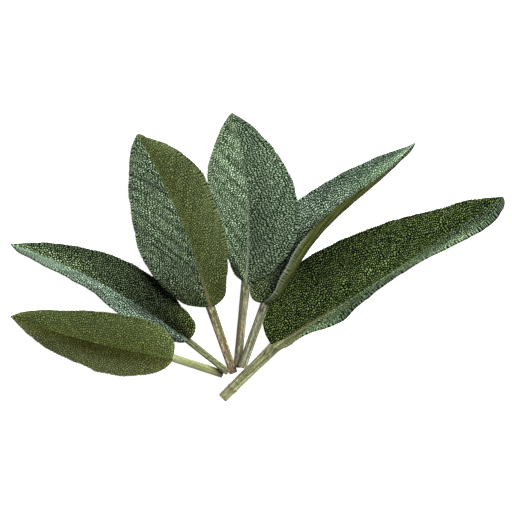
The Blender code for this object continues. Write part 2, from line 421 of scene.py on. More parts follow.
def plan_of_midrib(leaf, s):
    """Places along the midrib seen from above, and the direction to its left at each."""
    base, tip = np.array(leaf.base), np.array(leaf.tip)
    along = tip - base
    across = np.array((-along[1], along[0])) / np.linalg.norm(along)

    def place(share):
        return base + share[:, None] * along + leaf.bow * hump(share, leaf.belly)[:, None] * across

    step = 0.001
    heading = place(np.minimum(s + step, 1.0)) - place(np.maximum(s - step, 0.0))
    heading /= np.linalg.norm(heading, axis=1)[:, None]
    return place(s), np.stack((-heading[:, 1], heading[:, 0]), axis=1)


def width_of(half, s):
    """A half's even width."""
    return half.width * hump(s, half.shape)


def opening(leaf, s):
    """How much of its fold and curl the blade has: none at its narrow ends."""
    narrower = np.minimum(width_of(leaf.left, s), width_of(leaf.right, s))
    return np.clip(narrower / FOLDED_WIDTH, 0.0, 1.0)


def lift_of(half, s):
    """How steeply a half lifts from its fold."""
    amount, where, spread = half.dip
    return np.radians(through(half.fold, s) + amount * bell(s, where, spread))


def tilt_and_bend(leaf, s):
    """How far the blade leans as a whole, and how far each half folds from there."""
    left, right = lift_of(leaf.left, s), lift_of(leaf.right, s)
    return (left - right) / 2, (left + right) / 2 * opening(leaf, s)


def midrib_radius(leaf, s):
    """The midrib's radius, which tapers towards the tip."""
    return MIDRIB_TIP_RADIUS + (leaf.radii[0] - MIDRIB_TIP_RADIUS) * (1 - s) ** MIDRIB_TAPER


def midrib_height(leaf, s):
    """The height of the midrib's centre line over the table."""
    flat = midrib_radius(leaf, s) * math.cos(math.pi / STALK_SIDES)
    return np.maximum(through(leaf.rise, s), 0.0) + flat


def fold_height(leaf, s):
    """The height of the blade's middle surface over the midrib."""
    corner = BLADE_THICKNESS / 2 / np.cos(tilt_and_bend(leaf, s)[1])
    return midrib_height(leaf, s) + midrib_radius(leaf, s) + STALK_GAP + corner


# The blades.

RIM = (math.pi / 4, 0.0, -math.pi / 4)
RIM_THINNING = 0.35


def places_along(count):
    """Places from base to tip: even along the blade, and close together at both ends."""
    end, least_step = 0.05, 0.03
    middle = (np.arange(count) + 0.5) / count
    step = np.clip(np.minimum(middle, 1 - middle) / end, least_step, 1.0)
    place = np.concatenate(((0.0,), np.cumsum(step)))
    return place / place[-1]


def summed(slope, step):
    """The running sum of a slope across a half, by the mean of each two neighbours."""
    total = np.zeros_like(slope)
    total[:, 1:] = np.cumsum((slope[:, 1:] + slope[:, :-1]) / 2 * step, axis=1)
    return total


def half_sheet(leaf, half, side, s, rows, looks):
    """One half's middle surface, rounded at the fold, in rows from the midrib outward."""
    parts = 4
    u = np.linspace(0.0, 1.0, parts * rows + 1)
    plan, leftward = plan_of_midrib(leaf, s)
    tilt, bend = tilt_and_bend(leaf, s)
    fold = (bend + side * tilt)[:, None]
    curl = (np.radians(through(half.curl, s)) * opening(leaf, s))[:, None]
    width = width_of(half, s)[:, None]
    rounding = 1 - bell(width * u, 0.0, looks.fold_radius / MM)
    # The two halves share one slope at the fold, which is the blade's own tilt.
    slope = side * tilt[:, None] + (fold - side * tilt[:, None]) * rounding + curl * u
    out = summed(np.cos(slope), width / (parts * rows))[:, ::parts]
    up = summed(np.sin(slope), width / (parts * rows))[:, ::parts]
    slope, u = slope[:, ::parts], u[::parts]

    # Only the outer part of a half follows its margin's teeth, waves and lobe.
    detail = 1 - np.exp(-width[:, 0] / PLAIN_WIDTH)
    reach = (scallops(leaf, half, s, side, looks) * detail)[:, None] * u**10
    wave = (waver(leaf, half, s, side) * detail + margin_of(half, s))[:, None] * u**3
    out = out + reach * np.cos(slope) + wave
    up = up + reach * np.sin(slope)
    flat = plan[:, None, :] + side * out[:, :, None] * leftward[:, None, :]
    ahead = np.stack((leftward[:, 1], -leftward[:, 0]), axis=1)
    back = (half.lobed * detail * (1 - smooth(s, 0.0, LOBE_REACH)))[:, None] * u**2
    flat = flat - back[:, :, None] * ahead[:, None, :]
    height = fold_height(leaf, s)[:, None] + up
    return np.concatenate((flat, height[:, :, None]), axis=2)


def along_margin(leaf, half, s):
    """The length of the margin from the blade's base to each place."""
    place = np.linspace(0.0, 1.0, 1001)
    step = np.hypot(np.diff(place) * length_of(leaf), np.diff(width_of(half, place)))
    return np.interp(s, place, np.concatenate(((0.0,), np.cumsum(step))))


def scallops(leaf, half, s, side, looks):
    """How far the margin stands out from its even line: round lobes between sharp notches."""
    sharpness, outside = 0.7, 0.25
    along = along_margin(leaf, half, s) * MM / looks.tooth_pitch
    uneven = 0.35 * np.sin(along * 0.61 + side * 1.7) + 0.25 * np.sin(along * 1.37 + 2.1)
    lobe = np.abs(np.sin(math.pi * (along + uneven))) ** sharpness
    return (outside - (1 - lobe)) * looks.tooth_depth / MM


def margin_of(half, s):
    """How far the margin stands outside its even line, from its places along the blade."""
    return np.interp(s, (0.0, *MARGIN_PLACES, 1.0), (0.0, *half.margin, 0.0))


def waver(leaf, half, s, side):
    """How far the margin wanders out and in, in slow waves."""
    reach, long_wave, short_wave = 0.35, 3.2, 1.3
    along = along_margin(leaf, half, s)
    slow = drift(along / long_wave, side * 5.3 + leaf.base[0], 11)
    quick = drift(along / short_wave, side * 7.1 + leaf.base[1], 12)
    return reach * (slow + 0.5 * quick - 0.75)


def scatter(i, j, seed):
    """An even spread of numbers from 0 to 1, one for each cell, that never changes."""
    mixed = np.sin(i * 127.1 + j * 311.7 + seed * 74.7) * 43758.5453
    return mixed - np.floor(mixed)


def cells(x, y, seed):
    """Cells round scattered centres: 0 in the furrows to 1 on top, and a number for each cell."""
    stray, far = 0.75, 9.0
    row = np.floor(y)
    nearest = np.full(x.shape, far)
    second = np.full(x.shape, far)
    number = np.zeros(x.shape)
    for dj in (-1, 0, 1):
        j = row + dj
        column = np.floor(x - 0.5 * (j % 2))
        for di in (-1, 0, 1):
            i = column + di
            centre_x = i + 0.5 + 0.5 * (j % 2) + stray * (scatter(i, j, seed) - 0.5)
            centre_y = j + 0.5 + stray * (scatter(i, j, seed + 1) - 0.5)
            distance = np.hypot(x - centre_x, y - centre_y)
            closer = distance < nearest
            second = np.where(closer, nearest, np.minimum(second, distance))
            number = np.where(closer, scatter(i, j, seed + 2), number)
            nearest = np.minimum(nearest, distance)
    return smooth(second - nearest, 0.1, 0.75), number


def drift(x, y, seed):
    """A value that wanders slowly between 0 and 1 over the plane."""
    i, j = np.floor(x), np.floor(y)
    across, up = smooth(x - i, 0.0, 1.0), smooth(y - j, 0.0, 1.0)
    low = scatter(i, j, seed) * (1 - across) + scatter(i + 1, j, seed) * across
    high = scatter(i, j + 1, seed) * (1 - across) + scatter(i + 1, j + 1, seed) * across
    return low * (1 - up) + high * up


def tone_and_painted_light_of(half, s, u):
    """How light a half is at each point: its own tone with painted light and shade, such as the shadows of
    overlapping leaves.
    """
    near, far = np.interp(s, TONE_AND_LIGHT_PLACES, half.near), np.interp(s, TONE_AND_LIGHT_PLACES, half.far)
    return near + (far - near) * smooth(u, 0.15, 0.85)


def pebble_rows(distance, onward, seed):
    """Where points lie across and along the rows of pebbles, which lean and sway a little."""
    sway = 0.9 * drift(distance / 3.1, onward / 2.3, seed + 3) + 0.4 * np.sin(distance * 0.8 + seed)
    across = distance * math.cos(PEBBLE_TURN) + onward * math.sin(PEBBLE_TURN)
    across = across + 0.7 * drift(distance / 2.1, onward / 3.3, seed + 7)
    along = onward * math.cos(PEBBLE_TURN) - distance * math.sin(PEBBLE_TURN) + sway
    return across, along


def side_veins(length, side, u, distance, onward, seed):
    """The side veins, each point's place between two of them, and the bands along them: a wandering tone with
    painted light on the swellings between the veins and painted shade at the veins.
    """
    spacing = length / VEIN_PAIRS * math.sin(VEIN_ANGLE)
    bent = onward - VEIN_BEND * distance**2
    over = bent * math.sin(VEIN_ANGLE) - distance * math.cos(VEIN_ANGLE)
    along = bent * math.cos(VEIN_ANGLE) + distance * math.sin(VEIN_ANGLE)
    phase = over / spacing + 0.4 * side
    from_vein = np.abs(phase - np.round(phase)) * spacing
    vein = bell(from_vein, 0.0, VEIN_WIDTH) * smooth(distance, 0.0, 0.6) * (1 - 0.6 * u)
    vein = vein * (0.55 + 0.45 * drift(over / spacing, along / 5.0, seed + 4))
    band_and_quilt_shade = drift(over, along / 12.0, seed + 5) + drift(over / 0.5, along / 8.0, seed + 6)
    # Painted light on the swellings between the side veins and painted shade at the veins.
    quilt_shading = np.cos(2 * math.pi * phase) * smooth(distance, 0.3, 1.5) * (1 - 0.7 * u)
    return vein, phase, np.minimum(0.85 * (band_and_quilt_shade - 1) - 0.15 * quilt_shading, 0.15)


def leaf_pattern(leaf, half, side, s, u, seed, looks):
    """What the faces of one half carry at each point: pebbles, veins, and the midrib's line."""
    length = length_of(leaf)
    s, u = np.broadcast_arrays(s[:, None], u[None, :])
    width = width_of(half, s)
    distance, onward = width * u, s * length
    flat = np.zeros(s.shape)
    across, along = pebble_rows(distance, onward, seed)
    pebble, number = cells(across * MM / looks.pebble_across, along * MM / looks.pebble_along, seed)
    vein, phase, band_and_quilt_shade = side_veins(length, side, u, distance, onward, seed)
    rib = np.exp(-((distance / leaf.rib_width) ** 4))
    rib = np.maximum(rib, half.stemlike * (1 - smooth(s, 0.07, 0.13)))
    # Along the margin the pebbles give way to ribs that end in the scallops.
    lobe = smooth(scallops(leaf, half, s, side, looks) * MM / looks.tooth_depth, -0.2, 0.2)
    edging = smooth(distance - width, -half.edging, -0.5 * half.edging)
    pebble = pebble * (1 - edging) + 0.8 * lobe * edging
    # The tone and its bands hold painted light and shade as well as the half's own tone.
    tone = tone_and_painted_light_of(half, s, u) * (1 + half.veined * (1 - 0.7 * smooth(s, 0.7, 0.9)) * band_and_quilt_shade)
    # Painted shade darkens the edge of the margin, less on the scallops' lobes.
    tone = tone * (1 - half.painted_rim_shade * smooth(u, 0.93, 0.98) * (1 - 0.4 * lobe))
    by_fold, by_base = half.olive
    spots = (
        across * MM / (looks.pebble_across * half.coarse[0]) + 100 * side,
        along * MM / (looks.pebble_along * half.coarse[1]) + 300 * seed,
        flat,
    )
    return {
        "pebble": pebble * (1 - rib) * (1 - 0.5 * vein) + 0.4 * rib,
        "number": number,
        "vein": vein * half.veined,
        "tone": tone,
        "edging": edging,
        "lobe": lobe,
        "olive": np.maximum(by_fold * (1 - smooth(u, 0.1, 0.65)), by_base * (1 - smooth(s, 0.03, 0.26))),
        "pale": half.pale_rim * smooth(u, 0.96, 0.985) * (1 - smooth(s, 0.3, 0.4)),
        "spots": np.stack(spots, axis=2),
        "rib": rib,
        "detail": smooth(width, 0.3, 3.0),
        "quilt": half.veined * (0.4 - np.abs(2 * (phase - np.floor(phase)) - 1) ** 2),
        "across": side * u,
        "along": s,
        "pebbled": half.pebbled * (1 - half.soft_tip * smooth(s, 0.55, 0.85)),
        "grain": np.stack((onward, side * distance, flat), axis=2),
    }


def join_halves(right, left):
    """The rows of both halves as one sheet, from the right margin to the left one."""
    return np.concatenate((right[:, :0:-1], left), axis=1)


def sheet_of(leaf, s, rows, number, looks):
    """Points, normals and patterns of the whole blade's middle surface."""
    u = np.linspace(0.0, 1.0, rows + 1)
    points = join_halves(
        half_sheet(leaf, leaf.right, -1.0, s, rows, looks),
        half_sheet(leaf, leaf.left, 1.0, s, rows, looks),
    )
    seed = 3 * number
    right = leaf_pattern(leaf, leaf.right, -1.0, s, u, seed, looks)
    left = leaf_pattern(leaf, leaf.left, 1.0, s, u, seed + 10, looks)
    pattern = {name: join_halves(right[name], left[name]) for name in right}
    normals = np.cross(np.gradient(points, axis=0), np.gradient(points, axis=1))
    normals /= np.linalg.norm(normals, axis=2)[:, :, None]
    return points, normals, pattern


def rim_between(points, top, bottom, inner):
    """Points round a margin, from its top edge to its bottom edge."""
    outward = points - inner
    outward /= np.linalg.norm(outward, axis=1)[:, None]
    middle, upward = (top + bottom) / 2, (top - bottom) / 2
    radius = np.linalg.norm(upward, axis=1)[:, None]
    return np.stack(
        [middle + outward * radius * math.cos(turn) + upward * math.sin(turn) for turn in RIM], axis=1
    )


def thinned(looks, across):
    """Half the blade's thickness, which shrinks close to the margins."""
    return looks.thickness / MM / 2 * (1 - RIM_THINNING * np.abs(across) ** 6)


def upper_face(points, normals, above, looks):
    """The pebbled and quilted face over a blade's middle surface."""
    pebble_height = looks.pebble_height / MM * np.minimum(above["pebbled"], 1.0)
    lump = pebble_height * (above["pebble"] * (0.7 + 0.3 * above["number"]) - 0.5)
    quilt = looks.quilt_height / MM * above["quilt"] * (1 - above["rib"])
    lift = thinned(looks, above["across"]) + (lump + quilt) * above["detail"]
    return points + normals * lift[:, :, None]


def under_face(points, normals, below, looks):
    """The face under a blade's middle surface, on which the veins stand out."""
    vein_height, net_height = 0.1, 0.05
    ridge = vein_height * below["vein"] + net_height * (1 - below["pebble"]) * (1 - below["rib"])
    quilt = looks.quilt_height / MM * below["quilt"] * (1 - below["rib"])
    drop = thinned(looks, below["across"]) + (ridge - quilt) * below["detail"]
    return points - normals * drop[:, :, None]


def notches(leaf, s, across, looks):
    """Where the dark notches between the scallops show on the upper face."""
    tooth = [
        scallops(leaf, half, s, side, looks)[:, None] / (looks.tooth_depth / MM)
        for half, side in ((leaf.right, -1.0), (leaf.left, 1.0))
    ]
    depth = -np.where(across < 0, *tooth)
    return smooth(depth, -0.05, 0.7) * smooth(np.abs(across), 0.9, 1.0)


def blade_surface(leaf, number, looks):
    """Rings of points round the blade from base to tip, and the pattern at each of them."""
    grid = looks.grid / MM
    s = places_along(round(length_of(leaf) / grid))[1:-1]
    rows = round(max(leaf.left.width, leaf.right.width) / grid)
    under_rows = max(rows // 2, 12)
    points, normals, above = sheet_of(leaf, s, rows, number, looks)
    low_points, low_normals, below = sheet_of(leaf, s, under_rows, number, looks)
    top = upper_face(points, normals, above, looks)
    bottom = under_face(low_points, low_normals, below, looks)
    left_rim = rim_between(points[:, -1], top[:, -1], bottom[:, -1], points[:, -3])
    right_rim = rim_between(points[:, 0], top[:, 0], bottom[:, 0], points[:, 2])
    rings = np.concatenate((top, left_rim, bottom[:, ::-1], right_rim[:, ::-1]), axis=1)

    above["notch"] = notches(leaf, s, above["across"], looks)
    below["notch"] = np.zeros(below["across"].shape)
    above["upper"] = np.ones(above["across"].shape)
    below["upper"] = np.zeros(below["across"].shape)
    unseen = {"number", "pebble", "quilt", "detail"}
    pattern = {
        name: np.concatenate(
            (
                above[name],
                np.repeat(above[name][:, -1:], len(RIM), axis=1),
                below[name][:, ::-1],
                np.repeat(above[name][:, :1], len(RIM), axis=1),
            ),
            axis=1,
        )
        for name in above.keys() - unseen
    }
    ends = np.array((0.0, 1.0))
    poles = np.column_stack((plan_of_midrib(leaf, ends)[0], fold_height(leaf, ends)))
    return rings, poles, pattern, s, (rows, under_rows)


def blade_map(s, rows, under_rows):
    """Where each ring point lies on the flat map: the upper face left, the underside right."""
    face_wide, rim = 0.45, np.array((0.006, 0.012, 0.018))
    top = 0.02 + face_wide * np.linspace(0.0, 1.0, 2 * rows + 1)
    bottom = 0.52 + face_wide * np.linspace(0.0, 1.0, 2 * under_rows + 1)
    x = np.concatenate((top, top[-1] + rim, bottom, bottom[-1] + rim, (0.996,)))
    y = 0.01 + 0.98 * s
    return np.stack(np.broadcast_arrays(x[None, :], y[:, None]), axis=2)


# Closed meshes from rings of points.


def quads_between(columns, around, wide):
    """The corners of the quads between neighbouring rings that hold wide points each."""
    i, j = np.meshgrid(np.arange(columns - 1), np.arange(around), indexing="ij")
    here, ahead, after = i * wide, (i + 1) * wide, (j + 1) % wide
    return np.stack((here + j, ahead + j, ahead + after, here + after), axis=2).ravel()


def ring_corners(columns, around):
    """The corners of a closed piece's quads, then of the fans of triangles at its two poles."""
    j = np.arange(around)
    after = (j + 1) % around
    last = (columns - 1) * around
    base, tip = columns * around, columns * around + 1
    base_fan = np.column_stack((j, after, np.full(around, base)))
    tip_fan = np.column_stack((last + after, last + j, np.full(around, tip)))
    quads = quads_between(columns, around, around)
    return np.concatenate((quads, base_fan.ravel(), tip_fan.ravel()))


def map_corners(flat_map):
    """The place on the flat map of each corner that ring_corners gives."""
    columns, wide, _ = flat_map.shape
    around = wide - 1
    first, final = flat_map[0], flat_map[-1]
    base_pole = np.column_stack(((first[:-1, 0] + first[1:, 0]) / 2, np.full(around, 0.002)))
    tip_pole = np.column_stack(((final[:-1, 0] + final[1:, 0]) / 2, np.full(around, 0.998)))
    return np.concatenate(
        (
            flat_map.reshape(-1, 2)[quads_between(columns, around, wide)],
            np.stack((first[:-1], first[1:], base_pole), axis=1).reshape(-1, 2),
            np.stack((final[1:], final[:-1], tip_pole), axis=1).reshape(-1, 2),
        )
    )


def carry(mesh, name, values):
    """Gives a mesh one pattern as an attribute, with the end rings' means at its poles."""
    vectors = values.ndim == 3
    ends = (values[0].mean(axis=0)[None], values[-1].mean(axis=0)[None])
    flat = values.reshape(-1, 3) if vectors else values.reshape(-1)
    flat = np.concatenate((flat, *ends)).astype(np.float32).ravel()
    attribute = mesh.attributes.new(name, "FLOAT_VECTOR" if vectors else "FLOAT", "POINT")
    attribute.data.foreach_set("vector" if vectors else "value", flat)


def closed_piece(name, rings, poles, pattern, flat_map):
    """A closed mesh from rings of points and a pole at each end, with its patterns and map."""
    columns, around, _ = rings.shape
    points = np.concatenate((rings.reshape(-1, 3), poles)) * MM
    corners = ring_corners(columns, around)
    quads = (columns - 1) * around
    starts = np.concatenate((np.arange(quads) * 4, quads * 4 + np.arange(2 * around) * 3))
    mesh = bpy.data.meshes.new(name)
    mesh.vertices.add(len(points))
    mesh.vertices.foreach_set("co", points.astype(np.float32).ravel())
    mesh.loops.add(len(corners))
    mesh.loops.foreach_set("vertex_index", corners.astype(np.int32))
    mesh.polygons.add(len(starts))
    mesh.polygons.foreach_set("loop_start", starts.astype(np.int32))
    mesh.update(calc_edges=True)
    layer = mesh.uv_layers.new(name="OFBake")
    layer.uv.foreach_set("vector", map_corners(flat_map).astype(np.float32).ravel())
    for key in sorted(pattern):
        carry(mesh, key, pattern[key])
    mesh.shade_smooth()
    made = bpy.data.objects.new(name, mesh)
    bpy.context.scene.collection.objects.link(made)
    return made


# Materials.


class Socket:
    """A node's output. Sums written with it add Math nodes to its tree."""

    def __init__(self, tree, output):
        self.tree = tree
        self.output = output

    def math(self, operation, *values):
        inputs = dict(enumerate(values))
        return self.tree.add("ShaderNodeMath", {"operation": operation}, inputs)

    def __add__(self, other):
        return self.math("ADD", self, other)

    __radd__ = __add__

    def __sub__(self, other):
        return self.math("SUBTRACT", self, other)

    def __rsub__(self, other):
        return self.math("SUBTRACT", other, self)

    def __mul__(self, other):
        return self.math("MULTIPLY", self, other)

    __rmul__ = __mul__

    def __pow__(self, other):
        return self.math("POWER", self, other)

    def step(self, low, high):
        """0 below low, 1 above high, and a soft step between."""
        settings = {"interpolation_type": "SMOOTHSTEP"}
        inputs = {"Value": self, "From Min": low, "From Max": high}
        return self.tree.add("ShaderNodeMapRange", settings, inputs)


class Finish:
    """A material whose nodes are added one by one to its Principled shader."""

    def __init__(self, name):
        self.material = bpy.data.materials.new(name)
        self.material.use_nodes = True
        self.nodes = self.material.node_tree.nodes
        self.links = self.material.node_tree.links
        self.shader = self.nodes["Principled BSDF"]

    def add(self, kind, settings, inputs, output=0):
        """A new node of one kind, with its settings set and then its sockets filled."""
        node = self.nodes.new(kind)
        for name, value in settings.items():
            setattr(node, name, value)
        for key, value in inputs.items():
            self.put(node.inputs[key], value)
        return Socket(self, node.outputs[output])

    def put(self, socket, value):
        """Fills a socket with a link, a colour or a value."""
        if isinstance(value, Socket):
            self.links.new(value.output, socket)
        elif isinstance(value, (tuple, list)) and len(socket.default_value) == 4:
            socket.default_value = (*value, 1.0)
        else:
            socket.default_value = value

    def number(self, name):
        """A pattern of one number for each point."""
        return self.add("ShaderNodeAttribute", {"attribute_name": name}, {}, "Fac")

    def vector(self, name):
        """A pattern of a vector for each point."""
        return self.add("ShaderNodeAttribute", {"attribute_name": name}, {}, "Vector")

    def in_millimetres(self):
        """The place in the frame, in millimetres."""
        place = self.add("ShaderNodeTexCoord", {}, {}, "Object")
        return self.scale(place, 1 / MM)

    def vector_math(self, operation, inputs):
        return self.add("ShaderNodeVectorMath", {"operation": operation}, inputs)

    def scale(self, vector, amount):
        return self.vector_math("SCALE", {0: vector, "Scale": amount})

    def times(self, vector, other):
        return self.vector_math("MULTIPLY", {0: vector, 1: other})

    def plus(self, vector, other):
        return self.vector_math("ADD", {0: vector, 1: other})

    def mix(self, amount, first, second):
        """A colour between two others."""
        inputs = {0: amount, 6: first, 7: second}
        return self.add("ShaderNodeMix", {"data_type": "RGBA"}, inputs, 2)

    def noise(self, place, scale, detail):
        inputs = {"Vector": place, "Scale": scale, "Detail": detail}
        return self.add("ShaderNodeTexNoise", {}, inputs)

    def bump(self, height, distance, strength):
        inputs = {"Height": height, "Distance": distance, "Strength": strength}
        return self.add("ShaderNodeBump", {}, inputs, "Normal")

    def finish(self, **inputs):
        """Fills the shader's sockets, whose names have _ for each space."""
        for name, value in inputs.items():
            self.put(self.shader.inputs[name.replace("_", " ")], value)
        return self.material


def tinted(colour, shares):
    """A colour times a share for each of its channels."""
    return tuple(min(channel * share, 1.0) for channel, share in zip(colour, shares))


# A blade's colours, as shares of its half's or underside's colour in red, green and blue.
# The furrows' colour is their own deep green darkened with painted shade, and the pebble tops' colour their
# pale hairs lit with a painted bluish sheen.
FURROW_AND_SHADE = (0.04, 0.24, 0.0)
PEBBLE_TOP_AND_SHEEN = (4.8, 4.1, 9.2)
OLIVE = (1.06, 1.0, 0.6)
UNDER_VEIN = (1.35, 1.3, 1.35)
# How strongly marks on a blade cover what is below them.
NOTCH_SHADE = 0.75
VEIN_SHADE = 0.25
VEIN_FLATTENS = 0.8
RIB_SHOWS = 0.6
RIM_SHOWS = 0.8
NET_SHOWS = 0.5
UNDER_EDGE_GREEN = 0.65
# How far the blades' and the stalks' finest grain stands up, in millimetres.
BLADE_GRAIN = 0.13
STALK_GRAIN = 0.06


def pebbles(made, edging):
    """A mask of a blade's pebbles: lumps with sharp furrows, a little out of line."""
    spots = made.vector("spots")
    wobble = made.add(
        "ShaderNodeTexNoise",
        {"noise_dimensions": "2D"},
        {"Vector": spots, "Scale": 1.4, "Detail": 1.0},
        "Color",
    )
    lumps = made.add(
        "ShaderNodeTexVoronoi",
        {"voronoi_dimensions": "2D", "feature": "DISTANCE_TO_EDGE"},
        {"Vector": made.plus(spots, made.scale(wobble, 0.5)), "Scale": 1.0, "Randomness": 0.85},
        "Distance",
    )
    return lumps.step(0.05, 0.42) * (1 - edging) + 0.7 * made.number("lobe") * edging


def upper_colour(made, number, leaf, looks, place, pebble, hairs):
    """The pebbled face: pale tops lit with a painted sheen over dark furrows with painted shade, with
    notches, veins and the midrib's line.
    """
    left, right = colour_of(looks, "left", number), colour_of(looks, "right", number)
    # The halves' colours carry painted light and shade for how each half is turned to the light.
    side = made.number("across").step(-0.02, 0.02)
    # Painted shade in the furrows and a painted sheen on the pebble tops.
    low = made.mix(side, tinted(right, FURROW_AND_SHADE), tinted(left, FURROW_AND_SHADE))
    high = made.mix(side, tinted(right, PEBBLE_TOP_AND_SHEEN), tinted(left, PEBBLE_TOP_AND_SHEEN))
    pebbled, vein = made.number("pebbled"), made.number("vein")
    uneven = 0.95 + 0.2 * made.noise(made.vector("spots"), 0.6, 1.0)
    raised = pebble ** (0.5 + 0.7 * pebbled) * uneven * (1 - VEIN_FLATTENS * vein)
    felt = 0.04 + 0.3 * hairs
    raised = raised * pebbled + (1 - pebbled) * felt
    upper = made.plus(low, made.scale(high, raised))
    upper = made.mix(made.number("notch") * NOTCH_SHADE, upper, low)
    upper = made.mix(vein * VEIN_SHADE, upper, low)
    blotches = 0.9 + 0.2 * made.noise(place, 0.22, 3.0)
    # Scaled by the tone, which holds painted light and shade as well as the leaf's own tone.
    upper = made.scale(upper, blotches * made.number("tone"))
    upper = made.mix(made.number("olive"), upper, made.times(upper, OLIVE))
    fade = 1 - made.number("along").step(0.0, leaf.rib_reach)
    return made.mix(made.number("rib") * fade * RIB_SHOWS, upper, colour_of(looks, "rib", number))


def under_colour(made, number, looks, pebble, hairs, edging, upper):
    """The underside: paler veins and streaks, and a greener margin near the base."""
    under = colour_of(looks, "under", number)
    net = (1 - pebble) * 0.5 + made.number("vein")
    streaks = made.noise(made.times(made.vector("grain"), (0.1, 1.9, 1.0)), 1.0, 3.0)
    back = made.mix(net * NET_SHOWS, under, tinted(under, UNDER_VEIN))
    back = made.scale(back, (0.15 + 0.85 * streaks.step(0.25, 0.75)) * (0.8 + 0.8 * hairs))
    base = 1 - made.number("along").step(0.2, 0.35)
    return made.mix(edging * base * UNDER_EDGE_GREEN, back, upper)


def blade_finish(number, leaf, looks):
    """The finish of one blade, on both faces."""
    made = Finish(f"sage blade {number}")
    place = made.in_millimetres()
    hairs = made.noise(place, 4.5, 2.0)
    edging = made.number("edging")
    pebble = pebbles(made, edging)
    upper = upper_colour(made, number, leaf, looks, place, pebble, hairs)
    back = under_colour(made, number, looks, pebble, hairs, edging, upper)
    colour = made.mix(made.number("upper"), back, upper)
    colour = made.mix(made.number("pale") * RIM_SHOWS, colour, colour_of(looks, "rib", number))
    fine = 0.5 * hairs + 0.2 * made.noise(place, 11.0, 1.0) + pebble
    return made.finish(
        Base_Color=colour,
        Roughness=0.86 - 0.22 * pebble,
        Normal=made.bump(fine, BLADE_GRAIN * MM, 0.9),
        Sheen_Weight=looks.felt,
        Sheen_Roughness=0.45,
        Sheen_Tint=(0.75, 0.88, 0.85),
        Specular_IOR_Level=0.02,
    )


# Marks on a stalk, painted shade in its groove and on its flanks among them, as shares of its colour in red,
# green and blue, and how strongly they show.
GROOVE_SHADE = ((0.45, 0.5, 0.35), 0.45)
FLANK_SHADE = ((0.5, 0.58, 0.3), 0.7)
PITH = ((1.25, 1.2, 1.1), 0.8)
BRUISE_SHOWS = 0.75


def stalk_finish(number, leaf, looks):
    """The finish of one stalk: streaked lengthwise, flecked, and bruised at its cut."""
    colour, fleck = colour_of(looks, "stalk", number), tuple(looks.fleck)
    made = Finish(f"sage stalk {number}")
    grain = made.vector("grain")
    lengthwise = made.noise(made.times(grain, (0.07, 1.9, 1.9)), 1.0, 2.0)
    streak = made.noise(made.times(grain, (0.55, 2.6, 2.6)), 1.0, 3.0)
    hairs = made.noise(made.times(grain, (1.6, 4.4, 4.4)), 1.0, 2.0)
    plain = 1 - leaf.streaky
    dark = tinted(colour, (0.3 + 0.7 * plain, 0.36 + 0.64 * plain, 0.2 + 0.8 * plain))
    pale = tinted(colour, (1.85 - 0.7 * plain, 1.85 - 0.7 * plain, 1.95 - 0.7 * plain))
    base = made.mix(lengthwise.step(0.38, 0.62), dark, pale)
    base = made.mix(streak.step(0.5, 0.6) * made.number("flecked"), base, fleck)
    # The groove and the flanks are darkened with painted shade.
    for mark, (shares, shows) in (("groove", GROOVE_SHADE), ("flank", FLANK_SHADE)):
        base = made.mix(made.number(mark) * shows, base, tinted(colour, shares))
    base = made.scale(base, (0.4 + 0.6 * plain) + (1.2 - 1.1 * plain) * hairs.step(0.32, 0.68))
    base = made.mix(made.number("cut") * PITH[1], base, tinted(colour, PITH[0]))
    base = made.mix(made.number("bruise") * BRUISE_SHOWS, base, fleck)
    return made.finish(
        Base_Color=base,
        Roughness=0.5 + 0.35 * hairs,
        Normal=made.bump(streak + hairs, STALK_GRAIN * MM, 0.8),
        Sheen_Weight=0.2,
        Sheen_Roughness=0.4,
        Sheen_Tint=(0.85, 0.9, 0.85),
        Specular_IOR_Level=0.4,
    )


# The stalks.

# The cut end's face, from its middle outward: the share of the radius, and of CUT_BULGE.
CUT_FACE = ((0.4, 1.0), (0.75, 0.95), (0.93, 0.6))
CUT_BULGE = 0.12
# The groove on top: its half width as an angle, and its depth as a share of the radius.
GROOVE_WIDTH = 0.33
GROOVE_DEPTH = 0.16
# The old leaf's scar round a stalk, from the cut: its place and width, and those of its stain.
RING_PLACE, RING_WIDTH = 3.3, 0.5
STAIN_PLACE, STAIN_WIDTH, STAIN = 3.0, 0.35, 0.6
# The thicker foot at the blade, and how far a midrib runs up into its blade and drops again.
FOOT_PLACE, FOOT_WIDTH = -1.0, 4.0
KEEL_REACH, KEEL_DROP = 0.2, 0.3
# How far the grain of one stalk lies from the next one's.
GRAIN_APART = 31.0


def stalk_line(leaf, step):
    """The centre line from the cut end to near the blade's tip, and what goes along it.

    Beside the points and the radii, this is how far each is past the blade's base, and how high
    the blade's fold is over it.
    """
    s = np.linspace(0.0, MIDRIB_REACH, round(length_of(leaf) * MIDRIB_REACH / step))
    under = np.column_stack((plan_of_midrib(leaf, s)[0], midrib_height(leaf, s)))
    radius = midrib_radius(leaf, s)
    cut_radius = leaf.radii[1]
    cut = np.array((*leaf.cut, leaf.cut_rise + cut_radius * math.cos(math.pi / STALK_SIDES)))
    free_length = np.linalg.norm(under[0] - cut)
    rings = round(free_length / step)
    share = np.arange(rings) / rings
    free = cut + (under[0] - cut) * share[:, None]
    free_radius = cut_radius + (radius[0] - cut_radius) * share
    past = np.concatenate((share * free_length - free_length, s * length_of(leaf)))
    fold = fold_height(leaf, s) - midrib_height(leaf, s)
    fold = np.concatenate((np.full(rings, fold[0]), fold))
    return np.concatenate((free, under)), np.concatenate((free_radius, radius)), past, fold


def directions(line):
    """The ways ahead, to the left and up at each point of a line."""
    ahead = np.gradient(line, axis=0)
    ahead /= np.linalg.norm(ahead, axis=1)[:, None]
    leftward = np.cross((0.0, 0.0, 1.0), ahead)
    leftward /= np.linalg.norm(leftward, axis=1)[:, None]
    return ahead, leftward, np.cross(ahead, leftward)


